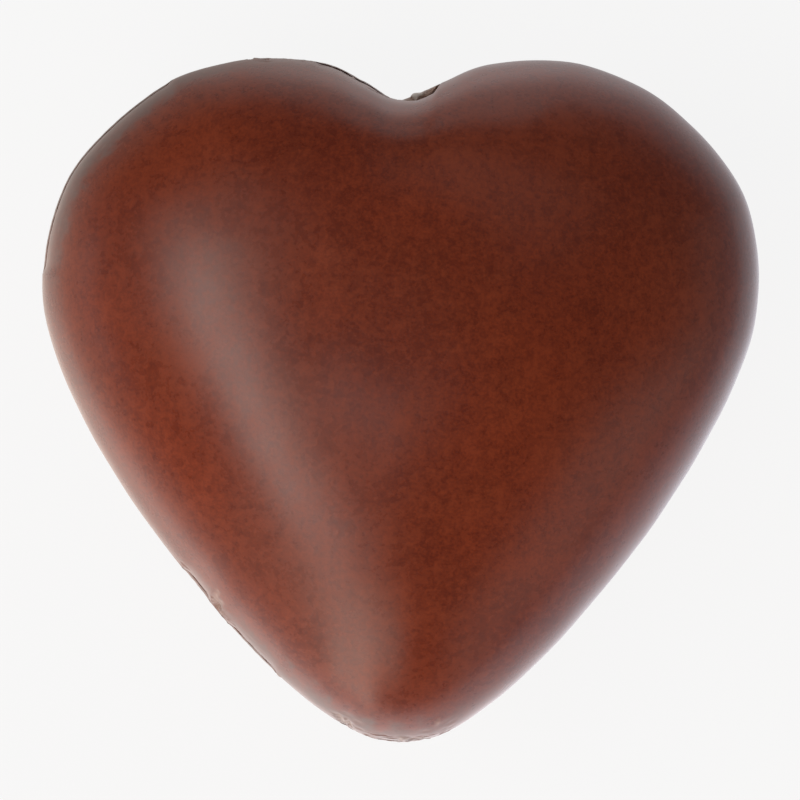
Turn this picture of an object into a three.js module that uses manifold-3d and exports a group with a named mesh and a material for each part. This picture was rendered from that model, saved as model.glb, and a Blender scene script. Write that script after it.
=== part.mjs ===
// A solid moulded chocolate heart. Two puffed halves meet at the mould seam half-way up.
// It lies on its back: the lobes point along +Y, the point along -Y, and the best face is up.
// Millimetres, +Z up. The origin is under the middle of the heart, on what it lies on.

import * as THREE from 'three';
import { mergeVertices } from 'three/addons/utils/BufferGeometryUtils.js';
import Module from 'manifold-3d';

// Driving dimensions

const HALF_THICKNESS = 9; // from the seam to the crown of either half
const REST_FLAT = 0.25; // the lower crown is flat over this much of its height

// The outline at the seam, anticlockwise from the notch, about the middle of its own box
const OUTLINE = [
  [-0.17, 15.06], [-0.78, 15.35], [-1.96, 16.12], [-4.1, 17.03], [-8.45, 17.08], [-12.7, 15.4],
  [-16.9, 10.9], [-17.9, 4.5], [-14.8, -2.9], [-9.4, -10.3], [-4.3, -15.25], [0.1, -17.15],
  [4.6, -15.1], [10.1, -9.5], [14.6, -3.2], [17.7, 3.7], [17.4, 9.9], [13.85, 14.5],
  [9.2, 16.9], [4.6, 16.95], [2.05, 15.97], [0.38, 15.24],
];
const OUTLINE_TENSION = 0.5;

// The crown: its place in the outline, and the level curves near it. They are rounder than
// the outline: long towards the lobes and the point, and narrow at the waist.
const CROWN = { y: 4.4, reach: 13.2, towardsPoint: 0.037, lengthen: 0.106, square: 0.072 };
const SPREAD = 2.1; // how late the level curves change from the crown's to the outline's
const PUFF = { out: 2.8, up: 0.5 }; // a half's height falls as (1 - out^2.8)^0.5

// The shallow dip between the lobes
const DIP = { depth: 0.23, halfWidth: 6.3, fromY: 9.9, softness: 2.1 };

// The mould seam: a fine groove whose edges waver. The lower half is slightly out of line
// with the upper one, so that its edge stands proud on one side and is set in on the other.
const GROOVE_DEPTH = 0.1;
const LIP_HEIGHT = 0.2; // how far above and below the seam a lip fades
const SET_IN_FADE = 8; // above 1 the set-in stays near the seam
const MISMATCH = { x: -0.16, y: 0.02 };
const WAVES = [
  { size: 0.018, turns: 7, phase: 1 },
  { size: 0.01, turns: 17, phase: 2 },
  { size: 0.007, turns: 31, phase: 0 },
];

// Where the lower edge stands out further: share of the way round, length and reach
const LEDGES = [
  { at: 0.393, length: 9, out: 0.16 },
  { at: 0.481, length: 4, out: 0.12 },
  { at: 0.9893, length: 3.4, out: 0.12 },
];

// Thin lips of chocolate that squeezed out between the halves
const LIPS = [
  { at: 0.052, length: 5, out: 0.12 },
  { at: 0.149, length: 9, out: 0.05 },
  { at: 0.428, length: 5, out: 0.06 },
];

// Chips broken out of the seam's edge: length along it, depth into it, height, and how far
// above the seam the middle of the break is
const CHIPS = [
  { at: 0.9893, length: 2.3, depth: 0.42, height: 1.1, above: 0.52 },
  { at: 0.0105, length: 1.5, depth: 0.22, height: 0.5, above: 0.14 },
  { at: 0.025, length: 0.7, depth: 0.2, height: 0.5, above: 0.3 },
  { at: 0.069, length: 0.9, depth: 0.24, height: 0.8, above: 0.3 },
  { at: 0.3765, length: 1.9, depth: 0.2, height: 0.42, above: 0.2 },
  { at: 0.3922, length: 1.2, depth: 0.34, height: 0.95, above: 0.42 },
  { at: 0.4075, length: 0.9, depth: 0.24, height: 0.5, above: 0.2 },
  { at: 0.4225, length: 1.1, depth: 0.2, height: 0.45, above: 0.1 },
  { at: 0.4705, length: 0.9, depth: 0.28, height: 0.7, above: 0.3 },
  { at: 0.4875, length: 1.1, depth: 0.2, height: 0.45, above: 0.15 },
  { at: 0.5065, length: 1.3, depth: 0.24, height: 0.5, above: 0.2 },
];
const CHIP_TURN = { roll: 1.3, pitch: 0.7 }; // from one chip to the next, so none look alike

// Facets
const COLUMNS = 144; // round the outline
const ROWS = 30; // from the upper crown to the lower one
const ROW_CROWDING = 1.75; // above 1 the rows crowd towards the seam
const LENGTH_STEPS = 2000; // for measuring along the outline
const SAME_POINT = 1e-4;

const CHOCOLATE = { color: 0x7c3521, roughness: 0.38, metalness: 0 };

// The outline as one closed curve, and its outward direction

const outline = new THREE.CatmullRomCurve3(
  OUTLINE.map(([x, y]) => new THREE.Vector3(x, y, 0)), true, 'catmullrom', OUTLINE_TENSION);
outline.arcLengthDivisions = LENGTH_STEPS;
const outlineLength = outline.getLength();

function outwardAt(share) {
  const along = outline.getTangentAt(share);
  return new THREE.Vector3(along.y, -along.x, 0);
}

// 1 at a feature's middle, falling smoothly to 0 at its two ends

function swell(share, { at, length }) {
  const apart = Math.abs(share - at);
  const away = Math.min(apart, 1 - apart) * outlineLength / (length / 2);
  return away < 1 ? (1 + Math.cos(Math.PI * away)) / 2 : 0;
}

function reachOf(features, share) {
  return features.reduce((sum, feature) => sum + feature.out * swell(share, feature), 0);
}

// The edge's slight unevenness: a few waves that close on themselves

function waver(share) {
  return WAVES.reduce((sum, { size, turns, phase }) =>
    sum + size * Math.sin(2 * Math.PI * turns * share + phase), 0);
}

// The lower edge's reach past the upper one

function stepAt(share) {
  const outward = outwardAt(share);
  return MISMATCH.x * outward.x + MISMATCH.y * outward.y + reachOf(LEDGES, share);
}

// What the seam adds to the outward reach of a point: the half that is out of line is set
// in, the seam itself is a groove, and lips stand out beside it.

function seamRelief(share, z, nearness) {
  const step = stepAt(share);
  const setIn = Math.max(z >= 0 ? step : -step, 0);
  const lip = reachOf(LIPS, share) * Math.exp(-((z / LIP_HEIGHT) ** 2));
  return (waver(share) - setIn) * nearness + (z === 0 ? -GROOVE_DEPTH : lip);
}

// The level curves' reach from the crown, in the crown's own shape

function crownReach(angle) {
  return CROWN.reach * (1 - CROWN.towardsPoint * Math.sin(angle)
    - CROWN.lengthen * Math.cos(2 * angle) - CROWN.square * Math.sin(3 * angle));
}

function dipAt(x, y) {
  return DIP.depth * Math.exp(-((x / DIP.halfWidth) ** 2))
    / (1 + Math.exp((DIP.fromY - y) / DIP.softness));
}

// A point of the heart's skin. share goes round the outline, and level goes from 1 at the
// upper crown, through 0 at the seam, to -1 at the lower crown.

function skinPoint(share, level) {
  const edge = outline.getPointAt(share);
  edge.y -= CROWN.y;
  const angle = Math.atan2(edge.y, edge.x);
  const height = Math.sin(Math.abs(level) ** ROW_CROWDING * Math.PI / 2);
  const out = (1 - height ** (1 / PUFF.up)) ** (1 / PUFF.out);
  const late = out ** SPREAD;
  const reach = out * ((1 - late) * crownReach(angle) + late * edge.length());
  const point = new THREE.Vector3(reach * Math.cos(angle), CROWN.y + reach * Math.sin(angle), 0);
  point.z = Math.sign(level) * height * (HALF_THICKNESS - dipAt(point.x, point.y));
  point.addScaledVector(outwardAt(share), seamRelief(share, point.z, out ** SET_IN_FADE));
  point.z = Math.max(point.z, REST_FLAT - HALF_THICKNESS);
  return point;
}

// A ball whose skin is pressed into the heart, row by row

function heartSkin() {
  const ball = new THREE.SphereGeometry(1, COLUMNS, ROWS);
  const corners = ball.getAttribute('position');
  for (let row = 0; row <= ROWS; row += 1) {
    const level = 1 - 2 * row / ROWS;
    for (let column = 0; column <= COLUMNS; column += 1) {
      const { x, y, z } = skinPoint((column % COLUMNS) / COLUMNS, level);
      corners.setXYZ(row * (COLUMNS + 1) + column, x, y, z);
    }
  }
  return ball;
}

// A rough faceted lump, set on the upper edge where a chip broke away

function chipCutter(chip, index) {
  const along = outline.getTangentAt(chip.at);
  const outward = outwardAt(chip.at);
  const upward = new THREE.Vector3(0, 0, 1);
  const place = outline.getPointAt(chip.at);
  place.addScaledVector(outward, -Math.max(stepAt(chip.at), 0)).setZ(chip.above);
  const lump = new THREE.IcosahedronGeometry(1, 0);
  lump.rotateY(CHIP_TURN.roll * index).rotateX(CHIP_TURN.pitch * index);
  lump.scale(chip.length / 2, chip.depth, chip.height / 2);
  lump.applyMatrix4(new THREE.Matrix4().makeBasis(along, outward.negate(), upward));
  lump.translate(place.x, place.y, place.z);
  return lump;
}

// Closed meshes as solids, and back

const wasm = await Module();
wasm.setup();

function solidOf(geometry) {
  geometry.deleteAttribute('normal');
  geometry.deleteAttribute('uv');
  const closed = mergeVertices(geometry, SAME_POINT);
  return new wasm.Manifold(new wasm.Mesh({
    numProp: 3,
    vertProperties: closed.getAttribute('position').array,
    triVerts: Uint32Array.from(closed.getIndex().array),
  }));
}

function geometryOf(solid) {
  const mesh = solid.getMesh();
  const geometry = new THREE.BufferGeometry();
  geometry.setAttribute('position', new THREE.BufferAttribute(mesh.vertProperties, 3));
  geometry.setIndex(new THREE.BufferAttribute(mesh.triVerts, 1));
  return geometry;
}

// The chipped heart, moved so that it lies on the origin's plane with its box centred

function chocolateHeart() {
  const chipped = CHIPS.reduce(
    (solid, chip, index) => solid.subtract(solidOf(chipCutter(chip, index))),
    solidOf(heartSkin()));
  const geometry = geometryOf(chipped);
  geometry.computeBoundingBox();
  const { min, max } = geometry.boundingBox;
  geometry.translate(-(min.x + max.x) / 2, -(min.y + max.y) / 2, -min.z);
  geometry.computeVertexNormals();
  const heart = new THREE.Mesh(geometry, new THREE.MeshStandardMaterial(CHOCOLATE));
  heart.name = 'chocolate_heart';
  return heart;
}

const part = new THREE.Group();
part.add(chocolateHeart());

export default part;
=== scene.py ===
import math
import random

import bmesh
import bpy
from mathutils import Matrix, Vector, noise


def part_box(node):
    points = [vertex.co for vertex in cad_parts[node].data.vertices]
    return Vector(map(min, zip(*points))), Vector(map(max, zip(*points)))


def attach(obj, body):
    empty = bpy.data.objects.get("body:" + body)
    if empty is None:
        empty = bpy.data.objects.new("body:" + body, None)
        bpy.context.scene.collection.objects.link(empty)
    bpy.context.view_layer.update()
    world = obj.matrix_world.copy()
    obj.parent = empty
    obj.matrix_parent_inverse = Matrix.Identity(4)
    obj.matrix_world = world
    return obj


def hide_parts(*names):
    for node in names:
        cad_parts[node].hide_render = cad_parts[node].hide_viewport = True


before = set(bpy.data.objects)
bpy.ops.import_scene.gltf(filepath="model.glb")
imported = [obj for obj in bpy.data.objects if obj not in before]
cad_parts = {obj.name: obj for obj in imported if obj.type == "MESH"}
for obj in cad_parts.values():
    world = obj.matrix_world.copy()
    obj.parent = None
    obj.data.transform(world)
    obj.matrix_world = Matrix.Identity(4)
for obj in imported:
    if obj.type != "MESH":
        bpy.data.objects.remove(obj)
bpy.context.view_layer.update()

mm = 0.001
scene = bpy.context.scene

# The heart is a ball pressed into two puffed halves that meet at the mould seam.
# Its sizes are millimetres.
heart = {
    "columns": 240, "rings": 80,
    "rowGap": 0.137, "rowGrowth": 0.05,         # rows close at the seam, wider to the crown
    "halfThickness": 9.0, "restFlat": 0.25,
    # the outline at the seam, anticlockwise from the notch, about the middle of its box
    "outline": [
        (-0.17, 15.06), (-0.78, 15.35), (-1.96, 16.12), (-4.1, 17.03), (-8.45, 17.08),
        (-12.7, 15.4), (-16.9, 10.9), (-17.9, 4.5), (-14.8, -2.9), (-9.4, -10.3),
        (-4.3, -15.25), (0.1, -17.15), (4.6, -15.1), (10.1, -9.5), (14.6, -3.2), (17.7, 3.7),
        (17.4, 9.9), (13.85, 14.5), (9.2, 16.9), (4.6, 16.95), (2.05, 15.97), (0.38, 15.24)],
    "crown": {"y": 4.4, "reach": 13.2, "towardsPoint": 0.037, "lengthen": 0.106,
              "square": 0.072},
    "spread": 2.1,                              # how late level curves turn into the outline
    "puffOut": 2.8, "puffUp": 0.5,              # a half's height falls as (1 - out^2.8)^0.5
    "dip": {"depth": 0.23, "halfWidth": 6.3, "fromY": 9.9, "softness": 2.1},
    "plainAbove": 0.9,                          # above this share of its height a half is plain
    "waviness": [(6.0, 0.014), (1.9, 0.004), (0.7, 0.0012)],    # size and depth of uneven skin
    # patches where the shown face's colour is made darker or lighter: place, size, amount
    "patches": [((-4.0, 12.0), 2.3, -0.34), ((0.4, 5.0), 2.0, -0.16), ((-2.6, -3.4), 1.6, 0.1),
                ((8.0, 13.6), 2.4, 0.22), ((-12.0, 12.1), 1.6, 0.2), ((-10.4, 1.6), 1.6, 0.16),
                ((4.0, 10.4), 2.2, 0.14)],
    "samePoint": 1e-6,
}
seamLevel = heart["halfThickness"] - heart["restFlat"]

# Places round the seam are shares of the way, anticlockwise from the notch.
seam = {
    # the mesh is halved in size up to here above and below the seam, then again twice where
    # the seam is worn
    "fineBand": 3.0, "wornBands": (1.5, 0.62),
    "grooveDepth": 0.08, "grooveHeight": 0.05,
    "overhang": 0.05,                           # the upper half, past the lower one
    "stepFade": 1.5,                            # how far down the step below the seam fades
    "waves": [(0.018, 7, 1.0), (0.01, 17, 2.0), (0.007, 31, 0.0)],      # size, turns, phase
    # where the lower half stands out past the upper one: from, to, by how much, how wide and
    # deep the crack between the two is, how flat the ledge is, and how far up the upper half
    # is set in
    "ledges": [
        (-0.001, 0.046, 0.18, 0.1, 0.16, 0.1, 4.5),
        (0.105, 0.222, 0.2, 0.04, 0.05, 0.0, 2.6),
        (0.366, 0.392, 0.22, 0.04, 0.04, 0.0, 2.6),
        (0.398, 0.436, 0.18, 0.04, 0.04, 0.0, 2.6),
        (0.466, 0.48, 0.14, 0.05, 0.05, 0.0, 2.6),
        (0.484, 0.516, 0.16, 0.04, 0.04, 0.1, 2.6),
        (0.977, 1.0005, 0.46, 0.1, 0.26, 0.6, 6.0)],
    "ledgeEnds": 0.9,
    "ledgeRise": 0.06,                          # a ledge this far past the overhang is whole
    # how a crack's size varies, and how much of its ledge it takes at most
    "crack": {"uneven": 0.6, "grain": 0.5, "layer": 7.0, "most": 0.5},
    # the section of a ledge, going down from the crack: how far down the skin, how far across
    # the crack (up to 1) and the ledge (up to 2), how far into the crack, and height, for a
    # round and a flat ledge
    "lip": [(0.0, 0.0, 1, 0.0, 0.0), (0.04, 0.5, 1, 0.0, 0.0), (0.08, 1.0, 0, -0.03, -0.08),
            (0.14, 1.1, 0, -0.06, -0.02), (0.25, 1.35, 0, -0.16, 0.0),
            (0.4, 1.7, 0, -0.33, -0.08), (0.6, 1.95, 0, -0.57, -0.35), (0.9, 2.0, 0, -0.9, -0.9)],
    "paleAndPaintedLitLedge": 1.6, "paleDown": 0.6,          # how pale a flat ledge is, partly its broken face and partly painted light where it lies in shade, and how far down
    # where the edge is worn: from, to, how rough
    "worn": [(-0.022, 0.036, 0.6), (0.036, 0.078, 0.9), (0.1, 0.225, 0.25),
             (0.362, 0.44, 0.7), (0.462, 0.53, 1.0)],
    "wear": {"reach": 1.1, "depth": 0.028, "pale": 0.35,
             "grain": 0.3, "finer": 2.3, "finerPart": 0.5, "layer": 3.0},
    # where pale dust clings to the rim: from, to, how much, and how far above the seam
    "dusty": [(0.05, 0.25, 0.7, 2.9), (0.35, 0.56, 0.65, 2.7), (-0.06, 0.07, 0.4, 3.2)],
    "dust": {"ends": 9.0, "edge": 0.8, "raggedEdge": 0.9, "least": 0.8, "patchy": 0.6,
             "grain": 0.7, "finer": 2.7, "finerPart": 0.6, "layer": 11.0},
    # breaks in the edge: place, height above the seam, length, height, depth, slant;
    # a flake that stands up has a depth below nothing
    "breaks": [
        (0.9895, 0.55, 1.7, 1.0, 0.16, 0.3),
        (0.9925, -0.12, 0.4, 0.3, 0.08, -0.3), (0.984, -0.12, 0.8, 0.3, -0.05, -0.3),
        (0.9975, 0.8, 0.1, 2.6, 0.05, 0.0), (0.0085, 3.3, 1.0, 0.6, 0.12, -0.5),
        (0.0065, 2.6, 0.7, 0.5, 0.1, 0.6), (0.0105, 0.35, 1.3, 0.5, 0.1, -0.3),
        (0.0194, 1.7, 0.6, 1.4, 0.1, 0.4), (0.026, 1.7, 0.5, 1.5, 0.1, -0.5),
        (0.0225, 1.9, 0.35, 1.2, -0.05, 0.3), (0.0322, 1.2, 0.7, 1.0, 0.08, 0.2),
        (0.0712, 0.5, 0.3, 1.2, 0.14, 0.1), (0.0695, 0.9, 0.6, 1.2, -0.04, 0.2),
        (0.0642, 1.3, 0.3, 0.5, 0.09, 0.0), (0.3805, 0.35, 1.2, 0.5, 0.06, 0.2),
        (0.391, 1.75, 0.55, 2.0, 0.11, 0.7), (0.3932, 1.6, 0.35, 1.7, 0.1, -0.6),
        (0.3945, 0.9, 0.7, 1.1, 0.1, 0.8), (0.3962, 1.2, 0.4, 0.8, -0.05, -0.5),
        (0.3985, 0.5, 0.6, 0.7, 0.08, 0.5), (0.4075, 0.3, 0.8, 0.5, 0.07, -0.4),
        (0.4165, 0.3, 0.6, 0.4, 0.06, 0.3), (0.4235, 0.3, 0.9, 0.4, 0.07, 0.0),
        (0.4315, 0.5, 0.5, 0.7, 0.08, 0.5), (0.4345, 0.6, 0.4, 0.5, -0.04, 0.2),
        (0.4695, 1.1, 0.5, 1.2, 0.1, 0.5), (0.472, 1.2, 0.6, 1.0, -0.05, -0.2),
        (0.4739, 1.2, 0.25, 1.3, 0.12, 0.3), (0.4835, 0.6, 0.8, 0.5, 0.08, 0.1),
        (0.489, 1.3, 1.4, 0.16, 0.07, 0.1), (0.4945, 1.0, 0.9, 0.14, 0.07, -0.2),
        (0.5005, 1.0, 0.5, 1.0, -0.06, 0.3), (0.5045, 0.7, 0.7, 0.6, 0.09, 0.1),
        (0.5085, 0.9, 0.5, 0.5, -0.04, 0.4), (0.5161, 2.2, 0.3, 0.5, -0.05, 0.0)],
    "paintedLitCrumb": (0.9905, -0.3, 0.75, 0.8, -0.12, 0.2),     # the palest flake, right of the notch, partly painted light
    "nicks": {"count": 260, "seed": 7, "length": (0.15, 0.5), "height": (0.1, 0.45),
              "above": (-0.1, 2.1), "depth": (-0.02, 0.05), "slant": (-0.8, 0.8)},
    # the form of one break, in its own half lengths: how far it may reach, where its side
    # starts and how steep that is, how ragged, and how its depth falls from end to end
    "break": {"reach": 1.2, "edge": 1.1, "steep": 1.9, "ragged": 0.45, "grain": 0.35,
              "layers": 40, "middle": 1.3, "fall": 0.6},
    # how pale at most, and at what depth or height of the break; the crumb's paleness is partly
    # painted light
    "pale": {"break": (0.45, 0.14), "flake": (0.5, 0.08), "paintedLitCrumb": (1.6, 0.08)},
}


def fadeIn(t):
    t = max(0.0, min(1.0, t))
    return t * t * (3 - 2 * t)


# closed curve through the points
def outlineCurve(points, steps=100):
    count = len(points)
    fine = []
    for i in range(count):
        p0, p1, p2, p3 = (Vector(points[(i + k) % count]) for k in (-1, 0, 1, 2))
        for step in range(steps):
            t = step / steps
            fine.append(0.5 * (2 * p1 + (p2 - p0) * t + (2 * p0 - 5 * p1 + 4 * p2 - p3) * t * t
                               + (3 * p1 - p0 - 3 * p2 + p3) * t ** 3))
    return fine


# count places at even distances round the curve: (point, outward direction)
def evenSteps(fine, count):
    lengths = [0.0]
    for a, b in zip(fine, fine[1:] + fine[:1]):
        lengths.append(lengths[-1] + (b - a).length)
    places = []
    i = 0
    for k in range(count):
        target = lengths[-1] * k / count
        while lengths[i + 1] < target:
            i += 1
        a, b = fine[i], fine[(i + 1) % len(fine)]
        t = (target - lengths[i]) / (lengths[i + 1] - lengths[i])
        along = (fine[(i + 2) % len(fine)] - fine[i - 1]).normalized()
        places.append((a.lerp(b, t), Vector((along.y, -along.x))))
    return places, lengths[-1]


# the section from seam to crown as (row's share, out, up), for any row to look up
def rowTable(count=4000):
    table = []
    run, rows = 0.0, 0.0
    last = None
    for k in range(count + 1):
        up = math.sin(math.pi / 2 * k / count)
        out = max(0.0, 1 - up ** (1 / heart["puffUp"])) ** (1 / heart["puffOut"])
        here = Vector((out * heart["crown"]["reach"], up * heart["halfThickness"]))
        if last:
            step = (here - last).length
            run += step
            rows += step / (heart["rowGap"] + heart["rowGrowth"] * run)
        last = here
        table.append((rows, out, up))
    return [(row / rows, out, up) for row, out, up in table]


# out and up at a row's share of the way from seam to crown
def rowAt(table, share):
    low, high = 0, len(table) - 1
    while high - low > 1:
        middle = (low + high) // 2
        if table[middle][0] <= share:
            low = middle
        else:
            high = middle
    (r0, out0, up0), (r1, out1, up1) = table[low], table[high]
    t = (share - r0) / (r1 - r0)
    return out0 + (out1 - out0) * t, up0 + (up1 - up0) * t


# how far one place round the seam is past another, the short way
def apartFrom(share, other):
    return (share - other + 0.5) % 1 - 0.5


# how far inside a stretch of the seam a place is; below nothing outside
def inside(share, start, end):
    return (end - start) / 2 - abs(apartFrom(share, (start + end) / 2))


# 1 inside a stretch of the seam, falling to 0 over its ends
def within(share, start, end, ends):
    return fadeIn(inside(share, start, end) / ends)


# noise of two sizes at a distance along the seam and a height; a layer is another noise
def unevenAt(along, z, kind):
    grain = Vector((along, z, kind["layer"])) / kind["grain"]
    return noise.noise(grain) + kind["finerPart"] * noise.noise(kind["finer"] * grain)


# a break or flake with a ragged edge, whose sides slope to its depth
def breakDepth(share, z, chip, total):
    at, above, length, height, depth, slant = chip
    form = seam["break"]
    up = (z - above) / (height / 2)
    along = apartFrom(share, at) * total / (length / 2) + slant * up
    if abs(along) >= form["reach"] or abs(up) >= form["reach"]:
        return 0.0
    place = Vector((share * total, z, form["layers"] * at)) / form["grain"]
    apart = math.hypot(along, up) + form["ragged"] * noise.noise(place)
    side = form["steep"] * (form["edge"] - apart)
    return depth * max(0.0, min(1, side, form["middle"] - form["fall"] * along))


# small breaks and crumbs in the worn stretches, drawn with a fixed seed
def smallNicks(values):
    dice = random.Random(values["seed"])
    nicks = []
    for _ in range(values["count"]):
        start, end, rough = dice.choice(seam["worn"])
        nicks.append((dice.uniform(start, end) % 1, dice.uniform(*values["above"]),
                      dice.uniform(*values["length"]), dice.uniform(*values["height"]),
                      dice.uniform(*values["depth"]) * rough, dice.uniform(*values["slant"])))
    return nicks


# what every point above and below one place of the outline shares
def describeColumn(share, place, total, breaks):
    point, outward = place
    crown = heart["crown"]
    edge = point - Vector((0, crown["y"]))
    angle = math.atan2(edge.y, edge.x)
    ends = seam["ledgeEnds"] / total
    dustEnds = seam["dust"]["ends"] / total
    variation = seam["crack"]
    along = share * total / variation["grain"]
    uneven = 1 + variation["uneven"] * noise.noise((along, variation["layer"], 0.0))
    ledges = [(size * within(share, start, end, ends), crack * uneven, sunk * uneven, flat, high)
              for start, end, size, crack, sunk, flat, high in seam["ledges"]]
    ledge, crack, sunk, flat, high = max(ledges)
    return {
        "share": share, "outward": outward,
        "cos": math.cos(angle), "sin": math.sin(angle), "edge": edge.length,
        "crown": crown["reach"] * (1 - crown["towardsPoint"] * math.sin(angle)
                                   - crown["lengthen"] * math.cos(2 * angle)
                                   - crown["square"] * math.sin(3 * angle)),
        "ledge": ledge, "crack": crack, "sunk": sunk, "flat": flat, "high": high,
        "worn": max(rough * within(share, start, end, ends)
                    for start, end, rough in seam["worn"]),
        "waver": sum(size * math.sin(2 * math.pi * turns * share + phase)
                     for size, turns, phase in seam["waves"]),
        "dusty": [(amount * within(share, start, end, dustEnds), height)
                  for start, end, amount, height in seam["dusty"]],
        "breaks": [chip for chip in breaks
                   if abs(apartFrom(share, chip[0])) * total < chip[2] / 2 * (1 + abs(chip[5]))],
    }


# a point of the two plain puffed halves; side is 1 above the seam, -1 below
def plainPoint(column, out, up, side):
    dip = heart["dip"]
    late = out ** heart["spread"]
    reach = out * ((1 - late) * column["crown"] + late * column["edge"])
    x = reach * column["cos"]
    y = heart["crown"]["y"] + reach * column["sin"]
    hollow = (dip["depth"] * math.exp(-(x / dip["halfWidth"]) ** 2)
              / (1 + math.exp((dip["fromY"] - y) / dip["softness"])))
    return x, y, side * up * (heart["halfThickness"] - hollow)


# a ledge's section at a depth down the skin: how far in, and how high
def ledgeSection(column, down):
    for upper, lower in zip(seam["lip"], seam["lip"][1:]):
        if down <= lower[0]:
            t = (down - upper[0]) / (lower[0] - upper[0])
            wide, sunk, rounded, flat = (a + (b - a) * t for a, b in zip(upper[1:], lower[1:]))
            z = rounded + (flat - rounded) * column["flat"] - sunk * column["sunk"]
            crack = min(column["crack"], seam["crack"]["most"] * column["ledge"])
            if wide < 1:
                return column["ledge"] - wide * crack, z
            return (column["ledge"] - crack) * (2 - wide), z
    return 0.0, -down


# the step between the halves: how far out a point moves, its height, and how pale it is painted
# for breaks and as light on a flat ledge
def stepAt(column, z, side):
    past = column["ledge"] - seam["overhang"]
    fade = math.exp(-(z / (column["high"] if side > 0 else seam["stepFade"])) ** 2)
    shift = column["waver"] * fade
    if side > 0:
        return shift - max(past, 0) * fade, z, 0.0
    if past < 0:
        return shift + past * fade, z, 0.0
    inset, height = ledgeSection(column, -z)
    shift -= inset - seam["overhang"] * fade
    height = z + (height - z) * min(1.0, past / seam["ledgeRise"])
    # a flat ledge is painted paler: partly for its broken face, partly as painted light in place
    # of the light its shade keeps off
    return shift, height, seam["paleAndPaintedLitLedge"] * column["flat"] * (z > -seam["paleDown"])


# how dusty the skin is at a height
def dustAt(column, along, z):
    dust = seam["dust"]
    uneven = unevenAt(along, z, dust)
    most = max(amount * fadeIn((height - abs(z)) / dust["edge"] + dust["raggedEdge"] * uneven)
               for amount, height in column["dusty"])
    return most * (dust["least"] + dust["patchy"] * uneven)


# how pale a break is at a depth, or a flake at a height
def paleness(kind, depth):
    most, whole = seam["pale"][kind]
    return min(most, depth / whole)


# a point of the skin, how pale it is painted for breaks and as painted light, and how dusty
def skinPoint(column, out, up, side, total):
    x, y, z = plainPoint(column, out, up, side)
    if up > heart["plainAbove"]:
        return Vector((x, y, z)), 0.0, 0.0

    along = column["share"] * total
    shift, height, brokenAndPaintedLight = stepAt(column, z, side)
    shift -= seam["grooveDepth"] * math.exp(-(z / seam["grooveHeight"]) ** 2)
    if column["worn"]:
        wear = seam["wear"]
        near = column["worn"] * math.exp(-(z / wear["reach"]) ** 2)
        roughness = unevenAt(along, z, wear)
        shift += wear["depth"] * near * roughness
        brokenAndPaintedLight = max(brokenAndPaintedLight, wear["pale"] * near * max(0.0, roughness))
    for chip in column["breaks"]:
        depth = breakDepth(column["share"], z, chip, total)
        raised = "paintedLitCrumb" if chip == seam["paintedLitCrumb"] else "flake"
        shift -= depth
        brokenAndPaintedLight = max(brokenAndPaintedLight, paleness("break", depth), paleness(raised, -depth))
    outward = column["outward"]
    point = Vector((x + shift * outward.x, y + shift * outward.y, height))
    return point, brokenAndPaintedLight, dustAt(column, along, z)


# a flat sheet of rows and columns, finer at the seam and finest where it is worn
def sheetForSkin(table):
    bm = bmesh.new()
    bmesh.ops.create_grid(bm, x_segments=heart["columns"], y_segments=heart["rings"], size=1)

    def nearSeam(edge, reach):
        middle = abs(edge.verts[0].co.y + edge.verts[1].co.y) / 2
        return rowAt(table, min(1.0, middle))[1] * heart["halfThickness"] < reach

    def isWorn(edge):
        share = (edge.verts[0].co.x + edge.verts[1].co.x) / 4 + 0.5
        return any(inside(share, start, end) > 0 for start, end, _ in seam["worn"])

    fine = [edge for edge in bm.edges if nearSeam(edge, seam["fineBand"])]
    bmesh.ops.subdivide_edges(bm, edges=fine, cuts=1, use_grid_fill=True)
    for band in seam["wornBands"]:
        finer = [edge for edge in bm.edges if nearSeam(edge, band) and isWorn(edge)]
        bmesh.ops.subdivide_edges(bm, edges=finer, cuts=1, use_grid_fill=True)
    return bm


# moves every point of the sheet to its place in the skin, and notes what it looks like there
def pressSheet(bm, table):
    finest = heart["columns"] * 2 ** (1 + len(seam["wornBands"]))
    places, total = evenSteps(outlineCurve(heart["outline"]), finest)
    breaks = seam["breaks"] + [seam["paintedLitCrumb"]] + smallNicks(seam["nicks"])
    columns, rows = {}, {}
    # how pale each point is painted: breaks and wear, and painted light on a flat ledge and the
    # crumb
    worn = bm.verts.layers.float.new("brokenAndPaintedLight")
    dusty = bm.verts.layers.float.new("dusty")
    shade = bm.verts.layers.float.new("shade")
    for vert in bm.verts:
        column = round((vert.co.x + 1) / 2 * finest) % finest
        level = round(vert.co.y, 7)
        if column not in columns:
            columns[column] = describeColumn(column / finest, places[column], total, breaks)
        if level not in rows:
            rows[level] = rowAt(table, min(1.0, abs(level)))
        out, up = rows[level]
        side = 1 if level >= 0 else -1
        vert.co, vert[worn], vert[dusty] = skinPoint(columns[column], out, up, side, total)
        vert[shade] = sum(amount * math.exp(-(vert.co.xy - Vector(place)).length_squared
                                            / (2 * size ** 2))
                          for place, size, amount in heart["patches"] if level > 0)


# flattens the spot that the heart rests on, and sets the skin in the part's own box
def fitToPart(bm):
    floorLevel = -seamLevel
    for vert in bm.verts:
        vert.co.z = max(vert.co.z, floorLevel)
    low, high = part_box("chocolate_heart")
    xs = [vert.co.x for vert in bm.verts]
    ys = [vert.co.y for vert in bm.verts]
    middle = Vector(((min(xs) + max(xs)) / 2, (min(ys) + max(ys)) / 2, floorLevel))
    bmesh.ops.translate(bm, verts=bm.verts, vec=-middle)
    bmesh.ops.scale(bm, verts=bm.verts, vec=(mm, mm, mm))
    bmesh.ops.translate(bm, verts=bm.verts,
                        vec=((low.x + high.x) / 2, (low.y + high.y) / 2, low.z))


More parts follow.
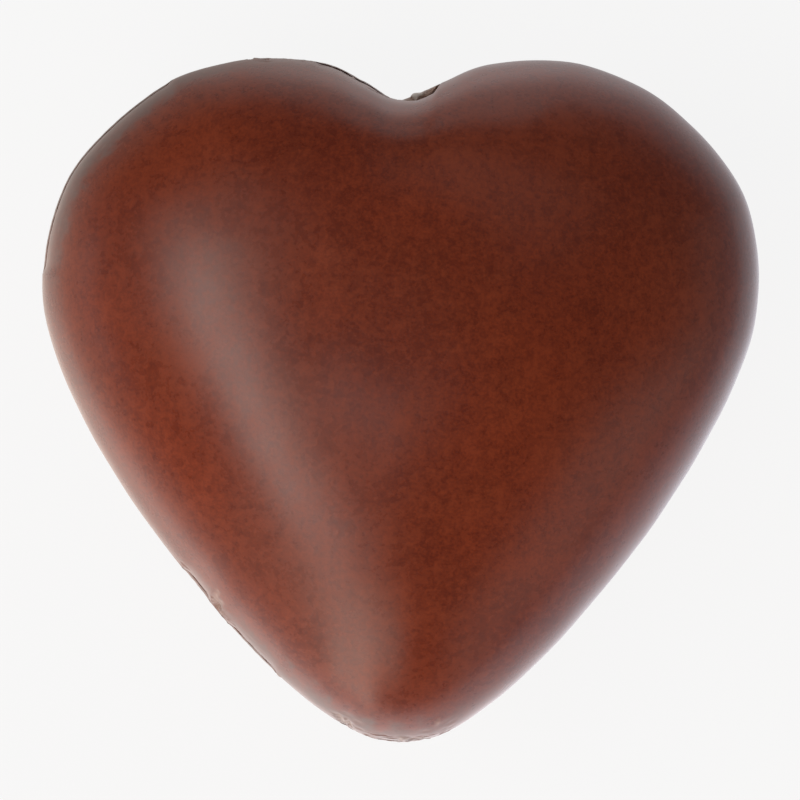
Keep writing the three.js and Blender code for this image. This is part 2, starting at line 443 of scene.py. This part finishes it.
def makeHeart():
    table = rowTable()
    bm = sheetForSkin(table)
    pressSheet(bm, table)
    bmesh.ops.remove_doubles(bm, verts=bm.verts, dist=heart["samePoint"])
    bmesh.ops.recalc_face_normals(bm, faces=bm.faces)
    for size, depth in heart["waviness"]:
        for vert in bm.verts:
            vert.co += vert.normal * depth * noise.noise(vert.co / size)
    fitToPart(bm)
    for face in bm.faces:
        face.smooth = True
    mesh = bpy.data.meshes.new("chocolateHeartSkin")
    bm.to_mesh(mesh)
    bm.free()
    piece = bpy.data.objects.new("chocolateHeartSkin", mesh)
    scene.collection.objects.link(piece)
    return piece


# Nodes: each function adds one to a material's tree and gives its output.

# puts a number, a colour or another node's output into a socket
def feed(tree, socket, value):
    if isinstance(value, bpy.types.NodeSocket):
        tree.links.new(value, socket)
    elif socket.type == "RGBA":
        socket.default_value = (*value, 1)
    else:
        socket.default_value = value


def objectPlace(tree):
    return tree.nodes.new("ShaderNodeTexCoord").outputs["Object"]


def attributeNamed(tree, name):
    node = tree.nodes.new("ShaderNodeAttribute")
    node.attribute_name = name
    return node.outputs["Fac"]


def noiseAt(tree, place, scale, detail, stretch=(1, 1, 1), roughness=0.6):
    node = tree.nodes.new("ShaderNodeTexNoise")
    node.inputs["Scale"].default_value = scale
    node.inputs["Detail"].default_value = detail
    node.inputs["Roughness"].default_value = roughness
    mapping = tree.nodes.new("ShaderNodeMapping")
    mapping.inputs["Scale"].default_value = stretch
    tree.links.new(place, mapping.inputs["Vector"])
    tree.links.new(mapping.outputs["Vector"], node.inputs["Vector"])
    return node.outputs["Fac"]


# from one range of numbers to another
def spread(tree, value, fromLow, fromHigh, toLow, toHigh, kind="LINEAR"):
    node = tree.nodes.new("ShaderNodeMapRange")
    node.interpolation_type = kind
    for name, number in (("From Min", fromLow), ("From Max", fromHigh),
                         ("To Min", toLow), ("To Max", toHigh)):
        node.inputs[name].default_value = number
    tree.links.new(value, node.inputs["Value"])
    return node.outputs["Result"]


# noise lies mostly between 0.3 and 0.7
def spreadNoise(tree, value, low, high):
    return spread(tree, value, 0.3, 0.7, low, high)


def combine(tree, operation, a, b):
    node = tree.nodes.new("ShaderNodeMath")
    node.operation = operation
    feed(tree, node.inputs[0], a)
    feed(tree, node.inputs[1], b)
    return node.outputs[0]


def vectorMath(tree, operation, *values):
    node = tree.nodes.new("ShaderNodeVectorMath")
    node.operation = operation
    for socket, value in zip(node.inputs, values):
        feed(tree, socket, value)
    return node.outputs["Value" if operation in ("LENGTH", "DOT_PRODUCT") else "Vector"]


def blend(tree, factor, first, second, kind="RGBA"):
    node = tree.nodes.new("ShaderNodeMix")
    node.data_type = kind
    tree.links.new(factor, node.inputs["Factor"])
    feed(tree, node.inputs["A"], first)
    feed(tree, node.inputs["B"], second)
    return node.outputs["Result"]


chocolate = {
    "deep": (0.147, 0.0176, 0.0036), "warm": (0.263, 0.0392, 0.0085),
    # pale film, how much of it, and the part of its pattern over which it comes in
    "bloom": (0.248, 0.068, 0.026), "bloomed": 0.16, "bloomFrom": (0.4, 0.7),
    # fresh breaks are paler, the same colour paints light on a flat ledge, and the crumb, partly
    # painted light, comes in where they are palest
    "fractureAndPaintedLight": (0.61, 0.45, 0.36), "paintedLitCrumb": (0.95, 0.89, 0.82), "paintedLitCrumbFrom": (1, 1.5),
    "dust": (0.165, 0.143, 0.134),
    # grey band by the seam, partly dull film and partly painted sheen on the rim: how much of it
    # at most, and over what height it fades
    "scuffAndPaintedSheen": (0.161, 0.139, 0.12), "scuffAndPaintedSheenShare": 0.4, "scuffAndPaintedSheenReach": 3.3 * mm,
    "specular": 0.25, "ior": 1.5,
    "coatIor": 1.35, "coatRoughness": 0.3,              # a clearer skin from the mould
    # the patterns: how many to the metre, how much finer detail, and how drawn out
    "patterns": {"cloud": (150, 3), "film": (255, 4), "mottle": (700, 3), "speckle": (2600, 2),
                 "grain": (7000, 1), "streak": (1500, 2, (1, 0.14, 0.3))},
    # from deep at 0 to warm at 1: what each pattern adds at its lowest and highest
    "tone": {"cloud": (0.3, 0.7), "mottle": (-0.16, 0.16), "speckle": (-0.3, 0.3),
             "grain": (-0.3, 0.3), "streak": (-0.12, 0.12)},
    # what a pattern leaves of each effect at its lowest and highest
    "thinBloom": (0.2, 1), "thinScuffAndPaintedSheen": (0.6, 1.4), "thinDust": (0.6, 1), "thinBreakAndPaintedLight": (0.3, 0.9),
    # smooth to dull, over this part of cloud and mottle together, and what is added
    "roughness": (0.24, 0.34), "roughFrom": (0.75, 1.25), "roughSpeckle": 0.03, "roughBreak": 0.25,
    "relief": 0.006 * mm, "bumps": {"mottle": 2.0, "speckle": 1.0, "grain": 0.4},
}


def makeChocolate():
    material = bpy.data.materials.new("chocolate")
    material.use_nodes = True
    tree = material.node_tree
    shader = tree.nodes["Principled BSDF"]
    shader.inputs["IOR"].default_value = chocolate["ior"]
    shader.inputs["Specular IOR Level"].default_value = chocolate["specular"]
    shader.inputs["Coat Weight"].default_value = 1
    shader.inputs["Coat IOR"].default_value = chocolate["coatIor"]
    shader.inputs["Coat Roughness"].default_value = chocolate["coatRoughness"]
    place = objectPlace(tree)
    brokenAndPaintedLight, dusty, shade = (attributeNamed(tree, name) for name in ("brokenAndPaintedLight", "dusty", "shade"))
    patterns = {name: noiseAt(tree, place, *form) for name, form in chocolate["patterns"].items()}

    def thinned(amount, pattern, ends):
        return combine(tree, "MULTIPLY", amount, spreadNoise(tree, patterns[pattern], *ends))

    tone = shade
    for name, (low, high) in chocolate["tone"].items():
        tone = combine(tree, "ADD", tone, spreadNoise(tree, patterns[name], low, high))
    colour = blend(tree, tone, chocolate["deep"], chocolate["warm"])

    film = spread(tree, patterns["film"], *chocolate["bloomFrom"], 0, 1)
    film = thinned(film, "speckle", chocolate["thinBloom"])
    film = combine(tree, "MULTIPLY", film, chocolate["bloomed"])
    colour = blend(tree, film, colour, chocolate["bloom"])

    # a band of dull film and painted sheen along the seam, greying the rim
    level = tree.nodes.new("ShaderNodeSeparateXYZ")
    tree.links.new(place, level.inputs["Vector"])
    apart = combine(tree, "SUBTRACT", level.outputs["Z"], seamLevel * mm)
    apart = combine(tree, "ABSOLUTE", apart, 0)
    scuffAndPaintedSheenBand = spread(tree, apart, 0, chocolate["scuffAndPaintedSheenReach"], 1, 0)
    scuffAndPaintedSheenBand = thinned(scuffAndPaintedSheenBand, "mottle", chocolate["thinScuffAndPaintedSheen"])
    scuffAndPaintedSheenBand = combine(tree, "MULTIPLY", scuffAndPaintedSheenBand, chocolate["scuffAndPaintedSheenShare"])
    colour = blend(tree, scuffAndPaintedSheenBand, colour, chocolate["scuffAndPaintedSheen"])

    dust = thinned(dusty, "speckle", chocolate["thinDust"])
    colour = blend(tree, dust, colour, chocolate["dust"])
    # paler broken faces, and painted light on a flat ledge
    fractureAndPaintedLight = thinned(brokenAndPaintedLight, "speckle", chocolate["thinBreakAndPaintedLight"])
    colour = blend(tree, fractureAndPaintedLight, colour, chocolate["fractureAndPaintedLight"])
    # the crumb's near-white: partly its own pale colour, partly painted light
    paintedLitCrumb = spread(tree, brokenAndPaintedLight, *chocolate["paintedLitCrumbFrom"], 0, 1)
    colour = blend(tree, paintedLitCrumb, colour, chocolate["paintedLitCrumb"])
    tree.links.new(colour, shader.inputs["Base Color"])

    clouded = combine(tree, "ADD", patterns["cloud"], patterns["mottle"])
    dull = spread(tree, clouded, *chocolate["roughFrom"], *chocolate["roughness"])
    rough = chocolate["roughSpeckle"]
    dull = combine(tree, "ADD", dull, spreadNoise(tree, patterns["speckle"], -rough, rough))
    marred = combine(tree, "ADD", brokenAndPaintedLight, dusty)
    marred = combine(tree, "MULTIPLY", marred, chocolate["roughBreak"])
    dull = combine(tree, "ADD", dull, marred)
    tree.links.new(dull, shader.inputs["Roughness"])

    height = 0.0
    for name, share in chocolate["bumps"].items():
        bumps = combine(tree, "MULTIPLY", patterns[name], share)
        height = combine(tree, "ADD", height, bumps)
    bump = tree.nodes.new("ShaderNodeBump")
    bump.inputs["Strength"].default_value = 1
    bump.inputs["Distance"].default_value = chocolate["relief"]
    tree.links.new(height, bump.inputs["Height"])
    tree.links.new(bump.outputs["Normal"], shader.inputs["Normal"])
    return material


studio = {
    "paperSeen": 0.913,                         # the ground's brightness in the photograph
    # the paper's half width, how much light it throws back, and its glow towards the camera
    "paperReach": 3, "paperTone": 0.08, "paperGlow": 0.885,
    "shade": (2 * mm, 15 * mm, 0.35),           # under the heart: from, to, how bright inside
    # what the heart sees of the ground: rings, each as eight lobes that start along +X and go
    # anticlockwise; and between which distances one ring turns into the next
    "rings": [(0.97, 0.04, 0.463, -0.139, 1.022, 0.081, 1.279, 0.232),
              (0.71, 0.095, 0.874, -0.35, 1.021, 0.948, 1.131, 0.251),
              (0.269, 0.114, 0.713, -0.3, 0.989, 0.0, 1.597, 0.075)],
    "ringEdges": [(24 * mm, 34 * mm), (45 * mm, 65 * mm)],
    "lobeNarrow": 3.0,
    # the ground's tint, and the direction in degrees in which it is coolest
    "warmSide": (1.145, 1.0, 0.907), "coolSide": (1.011, 1.0, 1.096), "coolTowards": 350,
    "ambient": 0.108,
    "distance": 0.6,                            # from the heart's middle to each panel
    # panels, as seen from the heart: where they stand in degrees round from +X and down from
    # overhead, half their width and height in degrees, how bright they are, and their tint
    "panels": {
        "key": (200, 37.5, 28.6, 10, 1.75, (1.102, 1.0, 0.927)),
        "keyCore": (200, 39.3, 28.6, 5.75, 2.53, (1.102, 1.0, 0.927)),
        "keyInside": (215, 25, 12, 4, 0.41, (1.102, 1.0, 0.927)),
        "keyEnd": (152, 52, 8, 8, 1.13, (1.102, 1.0, 0.927)),
        "front": (246, 70.5, 7, 19.5, 3.36, (1.138, 1.0, 0.885)),
        "frontLeft": (228, 72, 9, 17, 0.41, (1.138, 1.0, 0.885)),
        "frontRight": (262, 58, 6, 11, 1.61, (1.138, 1.0, 0.885)),
        "left": (181.5, 82.5, 17, 5, 1.03, (1, 1, 1)),
        "leftBack": (163, 80, 13, 8, 0.12, (1, 1, 1)),
        "right": (320, 69.5, 22, 13.5, 0.54, (1.143, 1.0, 0.937)),
        "rightLow": (0, 80, 20, 8, 0.25, (1.143, 1.0, 0.937)),
        "rightFront": (340, 83, 14, 6, 0.1, (1.143, 1.0, 0.937)),
        "back": (83, 80, 17, 9.5, 0.65, (1, 1, 1)),
        "backHigh": (62, 38, 20, 12, 0.23, (1, 1, 1)),
        "above": (240, 14, 9, 7, 1.15, (1, 1, 1)),
    },
}


# pale paper that glows unevenly towards the heart, and evenly towards the camera
def makePaperLook():
    material = bpy.data.materials.new("paper")
    material.use_nodes = True
    tree = material.node_tree
    shader = tree.nodes["Principled BSDF"]
    tone = studio["paperTone"]
    shader.inputs["Base Color"].default_value = (tone, tone, tone, 1)
    shader.inputs["Roughness"].default_value = 1
    shader.inputs["Specular IOR Level"].default_value = 0
    place = objectPlace(tree)
    away = vectorMath(tree, "NORMALIZE", place)
    reach = vectorMath(tree, "LENGTH", place)
    rays = tree.nodes.new("ShaderNodeLightPath").outputs["Is Camera Ray"]

    def facing(degrees):
        turn = math.radians(degrees)
        return vectorMath(tree, "DOT_PRODUCT", away, (math.cos(turn), math.sin(turn), 0.0))

    def lobeTowards(degrees):
        ahead = combine(tree, "MAXIMUM", facing(degrees), 0.0)
        return combine(tree, "POWER", ahead, studio["lobeNarrow"])

    lobes = [lobeTowards(degrees) for degrees in range(0, 360, 45)]

    def ringGlow(brightness):
        ring = 0.0
        for lobe, bright in zip(lobes, brightness):
            ring = combine(tree, "ADD", ring, combine(tree, "MULTIPLY", lobe, bright))
        return ring

    glow = ringGlow(studio["rings"][0])
    for brightness, (start, end) in zip(studio["rings"][1:], studio["ringEdges"]):
        further = spread(tree, reach, start, end, 0, 1, "SMOOTHSTEP")
        glow = blend(tree, further, glow, ringGlow(brightness), "FLOAT")
    glow = blend(tree, rays, glow, studio["paperGlow"], "FLOAT")
    start, end, darkest = studio["shade"]
    shade = spread(tree, reach, start, end, darkest, 1, "SMOOTHSTEP")
    glow = combine(tree, "MULTIPLY", glow, shade)
    tree.links.new(glow, shader.inputs["Emission Strength"])

    cool = spread(tree, facing(studio["coolTowards"]), -1, 1, 0, 1)
    tint = blend(tree, cool, studio["warmSide"], studio["coolSide"])
    tint = blend(tree, rays, tint, (1, 1, 1))
    tree.links.new(tint, shader.inputs["Emission Color"])
    return material


def makePaper():
    bm = bmesh.new()
    bmesh.ops.create_grid(bm, x_segments=1, y_segments=1, size=studio["paperReach"])
    mesh = bpy.data.meshes.new("paper")
    bm.to_mesh(mesh)
    bm.free()
    paper = bpy.data.objects.new("paper", mesh)
    scene.collection.objects.link(paper)
    mesh.materials.append(makePaperLook())


# a dim surrounding that the camera sees as bright as the paper
def makeSurrounding():
    world = bpy.data.worlds.new("studio")
    scene.world = world
    world.use_nodes = True
    nodes, links = world.node_tree.nodes, world.node_tree.links
    dim = nodes["Background"]
    seen = nodes.new("ShaderNodeBackground")
    for background, brightness in ((dim, studio["ambient"]), (seen, studio["paperSeen"])):
        background.inputs["Color"].default_value = (1, 1, 1, 1)
        background.inputs["Strength"].default_value = brightness
    rays = nodes.new("ShaderNodeLightPath")
    mix = nodes.new("ShaderNodeMixShader")
    links.new(rays.outputs["Is Camera Ray"], mix.inputs["Fac"])
    links.new(dim.outputs[0], mix.inputs[1])
    links.new(seen.outputs[0], mix.inputs[2])
    links.new(mix.outputs[0], nodes["World Output"].inputs["Surface"])


def makePanels():
    distance = studio["distance"]
    for name, (around, down, wide, high, bright, tint) in studio["panels"].items():
        light = bpy.data.lights.new(name, "AREA")
        light.shape = "RECTANGLE"
        light.size = 2 * distance * math.tan(math.radians(wide))
        light.size_y = 2 * distance * math.tan(math.radians(high))
        light.energy = bright * math.pi * light.size * light.size_y
        light.color = tint
        lamp = bpy.data.objects.new(name, light)
        scene.collection.objects.link(lamp)
        turn, lean = math.radians(around), math.radians(down)
        away = Vector((math.sin(lean) * math.cos(turn), math.sin(lean) * math.sin(turn),
                       math.cos(lean)))
        lamp.location = away * distance + Vector((0, 0, seamLevel * mm))
        lamp.rotation_euler = away.to_track_quat("Z", "Y").to_euler()
        lamp.visible_camera = False


camera = {"lens": 250, "sensor": 36, "frameWidth": 40.17, "x": -0.025, "y": 0.02,
          "clip": (0.01, 20)}


# straight above the heart, so far off that the frame is as wide as in the photograph
def makeCamera():
    data = bpy.data.cameras.new("camera")
    data.lens = camera["lens"]
    data.sensor_width = camera["sensor"]
    data.clip_start, data.clip_end = camera["clip"]
    eye = bpy.data.objects.new("camera", data)
    scene.collection.objects.link(eye)
    distance = camera["lens"] / camera["sensor"] * camera["frameWidth"]
    eye.location = (camera["x"] * mm, camera["y"] * mm, (distance + seamLevel) * mm)
    scene.camera = eye


makeCamera()
print("camera set")
skin = makeHeart()
skin.data.materials.append(makeChocolate())
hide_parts("chocolate_heart")
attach(skin, "root")
print("heart pressed:", len(skin.data.polygons), "faces")
makePaper()
makeSurrounding()
makePanels()
scene.view_settings.view_transform = "Standard"
print("studio lit")
